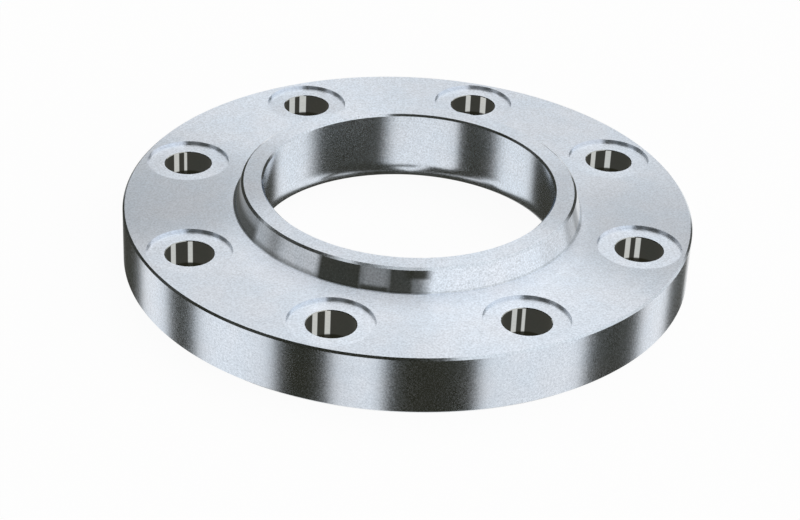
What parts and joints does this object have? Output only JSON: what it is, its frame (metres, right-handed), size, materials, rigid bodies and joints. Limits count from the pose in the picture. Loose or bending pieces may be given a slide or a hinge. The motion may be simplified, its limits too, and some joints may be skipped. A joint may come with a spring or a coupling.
{
  "type": "pipe flange",
  "caption": "Flat steel ring with a short tapered hub, a plain bore with a large rounded lap corner, and spot-faced bolt holes, for a lap joint between pipes.",
  "frame": {"origin": "centre of the bore, in the plane of the lap face that the flange lies on", "axes": "+Z along the axis of the bore, towards the hub; X and Y are centre lines that run midway between bolt holes"},
  "size_m": [0.2286, 0.2286, 0.0333],
  "materials": {
    "turned_steel": "fine turned, bare"
  },
  "bodies": {
    "root": {"flange": "turned_steel"}
  },
  "joints": []
}
